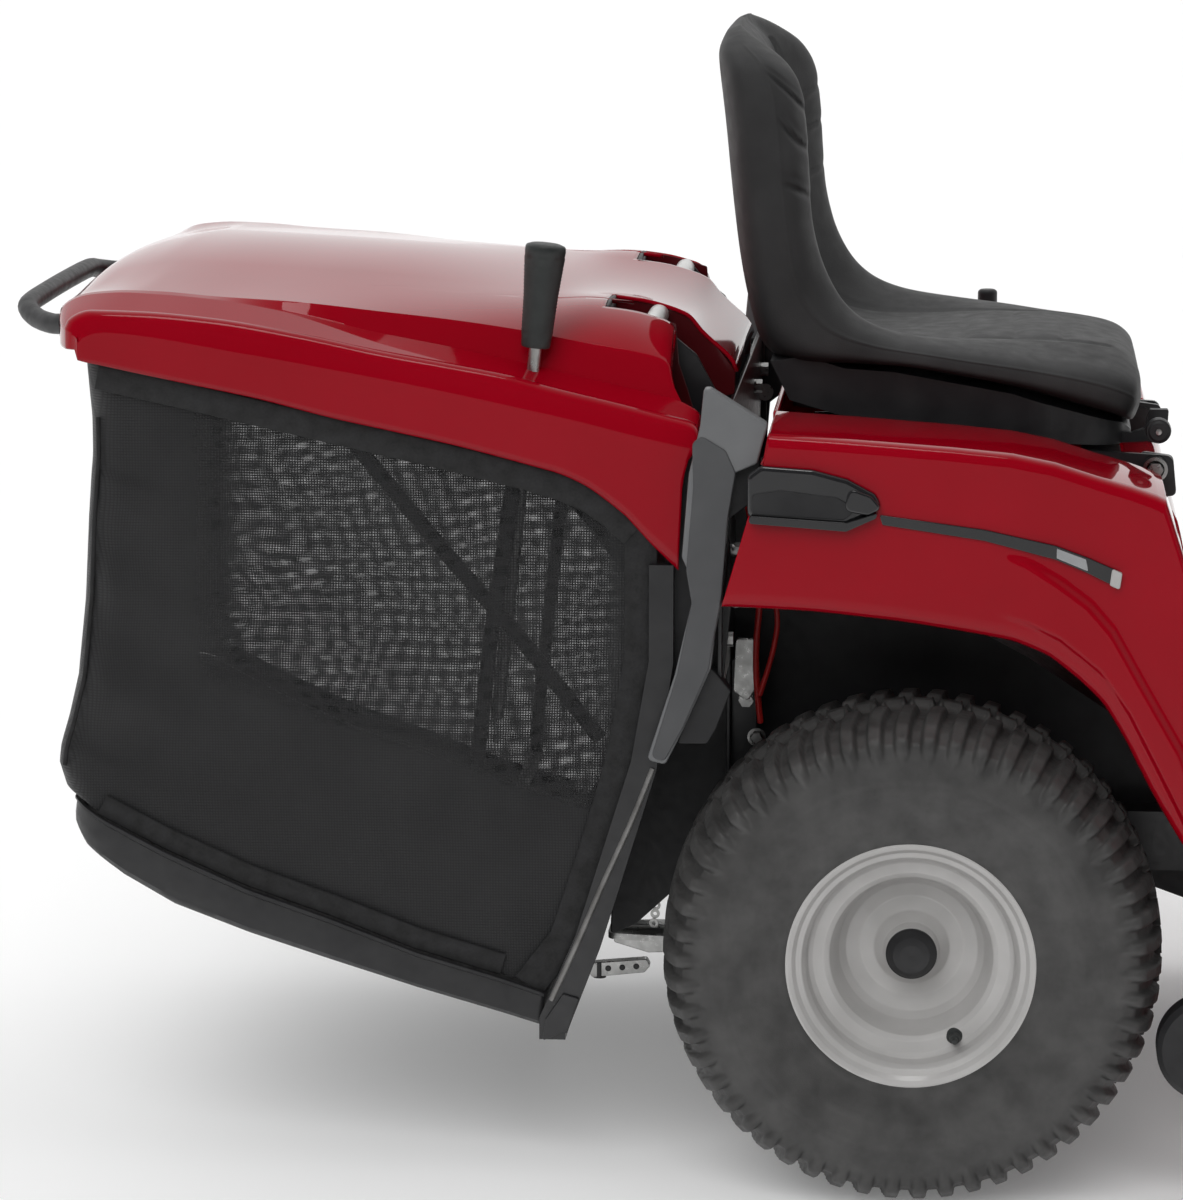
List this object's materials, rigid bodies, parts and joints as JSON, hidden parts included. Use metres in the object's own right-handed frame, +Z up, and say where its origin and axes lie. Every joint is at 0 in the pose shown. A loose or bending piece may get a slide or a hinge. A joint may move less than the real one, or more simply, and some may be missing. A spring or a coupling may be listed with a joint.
{
  "type": "riding lawn mower",
  "caption": "Riding lawn mower with a rear grass collector, tip-up hopper lid, sliding seat, steerable front axle and a mid-mounted cutting deck.",
  "frame": {"origin": "on the ground under the middle of the machine's length and width", "axes": "+X towards the bonnet, +Y to the driver's left, +Z up"},
  "size_m": [2.387, 1.008, 1.0848],
  "materials": {
    "red_gloss": "glossy deep red moulded panel",
    "black_gloss": "glossy black moulding",
    "black_plastic": "fine-textured black moulding",
    "charcoal_plastic": "satin charcoal moulding",
    "black_steel": "black powder coat",
    "grey_paint": "light grey wheel enamel",
    "tyre_rubber": "turf tyre rubber",
    "cast_alloy": "as-cast alloy",
    "mesh_fabric": "black woven mesh",
    "vinyl": "black grained vinyl",
    "zinc_steel": "zinc-plated steel",
    "chrome_trim": "bright trim",
    "grip_rubber": "moulded rubber grip",
    "red_deck": "red powder coat",
    "spring_steel": "oiled spring steel",
    "wire_skin": "wire insulation"
  },
  "bodies": {
    "chassis": {"frame_rails": "black_steel", "rear_plate": "black_steel", "rear_bezel": "charcoal_plastic", "rear_fender": "red_gloss", "fender_vents": "black_gloss", "fender_inlays": "chrome_trim", "discharge_chute": "black_plastic", "transaxle": "cast_alloy", "seat_springs": "spring_steel", "dashboard": "charcoal_plastic", "floor_pan": "black_steel", "engine_block": "cast_alloy", "engine_shroud": "black_plastic", "chassis_bolts": "zinc_steel", "hitch_plate": "zinc_steel", "front_bumper": "black_steel", "wiring_harness": "wire_skin"},
    "hood": {"hood_shell": "red_gloss", "hood_grille": "black_plastic"},
    "steering": {"steering_shaft": "black_steel", "steering_wheel": "black_plastic"},
    "front_axle": {"front_axle_beam": "black_steel"},
    "steer_knuckle_right": {"spindle_right": "black_steel"},
    "steer_knuckle_left": {"spindle_left": "black_steel"},
    "track_rod": {"tie_rod": "zinc_steel"},
    "front_wheel_right": {"front_tyre_right": "tyre_rubber", "front_rim_right": "grey_paint"},
    "front_wheel_left": {"front_tyre_left": "tyre_rubber", "front_rim_left": "grey_paint"},
    "rear_wheel_right": {"rear_tyre_right": "tyre_rubber", "rear_rim_right": "grey_paint", "rear_axle_shaft_right": "black_steel"},
    "rear_wheel_left": {"rear_tyre_left": "tyre_rubber", "rear_rim_left": "grey_paint", "rear_axle_shaft_left": "black_steel"},
    "deck": {"deck_shell": "red_deck", "deck_belt_cover": "black_plastic"},
    "cutter_right": {"blade_right": "zinc_steel"},
    "cutter_left": {"blade_left": "zinc_steel"},
    "gauge_wheel_right": {"deck_wheel_right": "black_plastic"},
    "gauge_wheel_left": {"deck_wheel_left": "black_plastic"},
    "collector": {"collector_cover": "red_gloss", "collector_hinge_tube": "zinc_steel", "grass_bag": "mesh_fabric", "collector_tray": "black_plastic", "collector_mouth_frame": "black_steel", "collector_frame": "black_steel", "collector_rear_handle": "black_steel"},
    "tip_lever": {"lever_grip": "grip_rubber", "lever_rod": "zinc_steel"},
    "seat_base": {"seat_bracket": "black_steel"},
    "seat": {"seat_cushion": "vinyl", "seat_pan": "black_plastic"},
    "seat_clamp": {"seat_knob": "black_plastic"},
    "brake": {"brake_pedal": "black_steel"},
    "drive": {"drive_pedal": "black_steel"},
    "throttle": {"throttle_lever": "black_plastic"},
    "key": {"ignition_key": "black_plastic"},
    "pto": {"pto_knob": "black_plastic"},
    "lift": {"lift_lever": "black_plastic"}
  },
  "joints": [
    {"name": "hood_tilt", "type": "hinge", "parent": "chassis", "child": "hood", "pos_m": [1.1315, 0, 0.44], "axis": [0, 1, 0], "range_deg": [0, 65]},
    {"name": "steering_turn", "type": "hinge", "parent": "chassis", "child": "steering", "pos_m": [0.2835, 0, 1.012], "axis": [-0.342, 0, 0.9397], "range_deg": [-180, 180]},
    {"name": "front_axle_swing", "type": "hinge", "parent": "chassis", "child": "front_axle", "pos_m": [0.8565, 0, 0.238], "axis": [1, 0, 0], "range_deg": [-4, 4]},
    {"name": "steer_right", "type": "hinge", "parent": "front_axle", "child": "steer_knuckle_right", "pos_m": [0.8565, -0.29, 0.2], "axis": [0, 0, 1], "range_deg": [-35, 35]},
    {"name": "steer_left", "type": "hinge", "parent": "front_axle", "child": "steer_knuckle_left", "pos_m": [0.8565, 0.29, 0.2], "axis": [0, 0, 1], "range_deg": [-35, 35]},
    {"name": "track_rod_pivot", "type": "hinge", "parent": "steer_knuckle_left", "child": "track_rod", "pos_m": [0.7465, 0.29, 0.205], "axis": [0, 0, 1], "range_deg": [-35, 35]},
    {"name": "front_wheel_right_spin", "type": "hinge", "parent": "steer_knuckle_right", "child": "front_wheel_right", "pos_m": [0.8565, -0.385, 0.19], "axis": [0, 1, 0], "continuous": true},
    {"name": "front_wheel_left_spin", "type": "hinge", "parent": "steer_knuckle_left", "child": "front_wheel_left", "pos_m": [0.8565, 0.385, 0.19], "axis": [0, 1, 0], "continuous": true},
    {"name": "rear_wheel_right_spin", "type": "hinge", "parent": "chassis", "child": "rear_wheel_right", "pos_m": [-0.3385, -0.35, 0.226], "axis": [0, 1, 0], "continuous": true},
    {"name": "rear_wheel_left_spin", "type": "hinge", "parent": "chassis", "child": "rear_wheel_left", "pos_m": [-0.3385, 0.35, 0.226], "axis": [0, 1, 0], "continuous": true},
    {"name": "deck_height", "type": "slide", "parent": "chassis", "child": "deck", "axis": [0, 0, 1], "range_m": [-0.055, 0]},
    {"name": "lift_lever_turn", "type": "hinge", "parent": "chassis", "child": "lift", "pos_m": [-0.2785, 0.33, 0.616], "axis": [0, 1, 0], "range_deg": [0, 28]},
    {"name": "blade_right_spin", "type": "hinge", "parent": "deck", "child": "cutter_right", "pos_m": [0.2215, -0.235, 0.15], "axis": [0, 0, 1], "continuous": true},
    {"name": "blade_left_spin", "type": "hinge", "parent": "deck", "child": "cutter_left", "pos_m": [0.2215, 0.235, 0.15], "axis": [0, 0, 1], "continuous": true},
    {"name": "gauge_wheel_right_spin", "type": "hinge", "parent": "deck", "child": "gauge_wheel_right", "pos_m": [-0.0705, -0.43, 0.155], "axis": [0, 1, 0], "continuous": true},
    {"name": "gauge_wheel_left_spin", "type": "hinge", "parent": "deck", "child": "gauge_wheel_left", "pos_m": [-0.0705, 0.43, 0.155], "axis": [0, 1, 0], "continuous": true},
    {"name": "collector_tip", "type": "hinge", "parent": "chassis", "child": "collector", "pos_m": [-0.5855, 0, 0.775], "axis": [0, 1, 0], "range_deg": [0, 80]},
    {"name": "lever_pull", "type": "slide", "parent": "collector", "child": "tip_lever", "axis": [0.1041, 0, 0.9946], "range_m": [0, 0.2]},
    {"name": "seat_tilt", "type": "hinge", "parent": "chassis", "child": "seat_base", "pos_m": [-0.1215, 0, 0.64], "axis": [0, 1, 0], "range_deg": [0, 50]},
    {"name": "seat_slide", "type": "slide", "parent": "seat_base", "child": "seat", "axis": [1, 0, 0], "range_m": [0, 0.06]},
    {"name": "seat_clamp_turn", "type": "hinge", "parent": "seat", "child": "seat_clamp", "pos_m": [-0.1195, -0.196, 0.677], "axis": [0, 1, 0], "range_deg": [0, 180]},
    {"name": "brake_press", "type": "hinge", "parent": "chassis", "child": "brake", "pos_m": [0.3815, 0.245, 0.35], "axis": [0, 1, 0], "range_deg": [0, 18], "stiffness_Nm_per_rad": 6, "springref_deg": -20.05},
    {"name": "drive_press", "type": "hinge", "parent": "chassis", "child": "drive", "pos_m": [0.3815, -0.245, 0.35], "axis": [0, 1, 0], "range_deg": [0, 18], "stiffness_Nm_per_rad": 6, "springref_deg": -20.05},
    {"name": "throttle_move", "type": "hinge", "parent": "chassis", "child": "throttle", "pos_m": [0.3215, 0.167, 0.848], "axis": [0, 1, 0], "range_deg": [-22, 22]},
    {"name": "key_turn", "type": "hinge", "parent": "chassis", "child": "key", "pos_m": [0.3615, -0.12, 0.88], "axis": [0, 0, 1], "range_deg": [-60, 0]},
    {"name": "pto_pull", "type": "slide", "parent": "chassis", "child": "pto", "axis": [0, 0, 1], "range_m": [0, 0.012]}
  ],
  "couplings": [
    {"joint": "steer_left", "follows": "steering_turn", "ratio": 0.19444},
    {"joint": "steer_right", "follows": "steering_turn", "ratio": 0.19444},
    {"joint": "track_rod_pivot", "follows": "steering_turn", "ratio": -0.19444},
    {"joint": "lift_lever_turn", "follows": "deck_height", "rad_per_m": -8.8836},
    {"joint": "blade_left_spin", "follows": "blade_right_spin", "ratio": -1}
  ]
}
